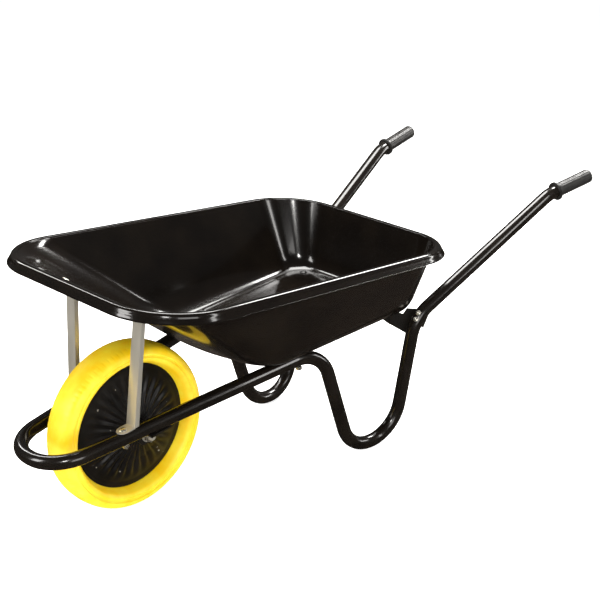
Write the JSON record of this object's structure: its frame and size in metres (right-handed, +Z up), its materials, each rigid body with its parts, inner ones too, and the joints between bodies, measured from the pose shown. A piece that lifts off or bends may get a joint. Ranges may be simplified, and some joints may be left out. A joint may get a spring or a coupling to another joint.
{
  "type": "wheelbarrow",
  "caption": "Contractor wheelbarrow: pressed pan with rolled rim on a bent tube frame with nose loop, leg loops and handles, and a foam-filled front wheel that spins",
  "frame": {"origin": "centre of the footprint's bounding box, on the ground", "axes": "+Z up, +Y towards the handles, -Y towards the wheel, +X to the left of the person who pushes it"},
  "size_m": [0.6182, 1.464, 0.5887],
  "materials": {
    "pan_paint": "gloss",
    "frame_paint": "satin",
    "zinc_plate": "satin",
    "bright_steel": "polished",
    "tyre_foam": "satin",
    "grip_rubber": "matte"
  },
  "bodies": {
    "frame": {"pan": "pan_paint", "frame_tube_left": "pan_paint", "frame_tube_right": "pan_paint", "rear_cross_member": "frame_paint", "axle_lug_left": "frame_paint", "axle_lug_right": "frame_paint", "axle": "zinc_plate", "stay_left": "zinc_plate", "axle_spacer_left": "zinc_plate", "axle_washer_left": "zinc_plate", "axle_nut_left": "zinc_plate", "stay_right": "zinc_plate", "axle_spacer_right": "zinc_plate", "axle_washer_right": "zinc_plate", "axle_nut_right": "zinc_plate", "stay_foot_bolt_left": "bright_steel", "stay_foot_nut_left": "bright_steel", "stay_top_bolt_left": "bright_steel", "stay_top_nut_left": "bright_steel", "pan_front_bolt_left": "bright_steel", "pan_front_nut_left": "bright_steel", "pan_rear_bolt_left": "bright_steel", "pan_rear_nut_left": "bright_steel", "cross_member_lower_bolt_left": "bright_steel", "cross_member_lower_nut_left": "bright_steel", "cross_member_upper_bolt_left": "bright_steel", "cross_member_upper_nut_left": "bright_steel", "stay_foot_bolt_right": "bright_steel", "stay_foot_nut_right": "bright_steel", "stay_top_bolt_right": "bright_steel", "stay_top_nut_right": "bright_steel", "pan_front_bolt_right": "bright_steel", "pan_front_nut_right": "bright_steel", "pan_rear_bolt_right": "bright_steel", "pan_rear_nut_right": "bright_steel", "cross_member_lower_bolt_right": "bright_steel", "cross_member_lower_nut_right": "bright_steel", "cross_member_upper_bolt_right": "bright_steel", "cross_member_upper_nut_right": "bright_steel", "grip_left": "grip_rubber", "grip_right": "grip_rubber"},
    "wheel": {"tyre": "tyre_foam", "hub_tube": "frame_paint", "wheel_disc_left": "frame_paint", "bearing_left": "bright_steel", "wheel_disc_right": "frame_paint", "bearing_right": "bright_steel"}
  },
  "joints": [
    {"name": "wheel_spin", "type": "hinge", "parent": "frame", "child": "wheel", "pos_m": [0, -0.474, 0.185], "axis": [1, 0, 0], "continuous": true}
  ]
}
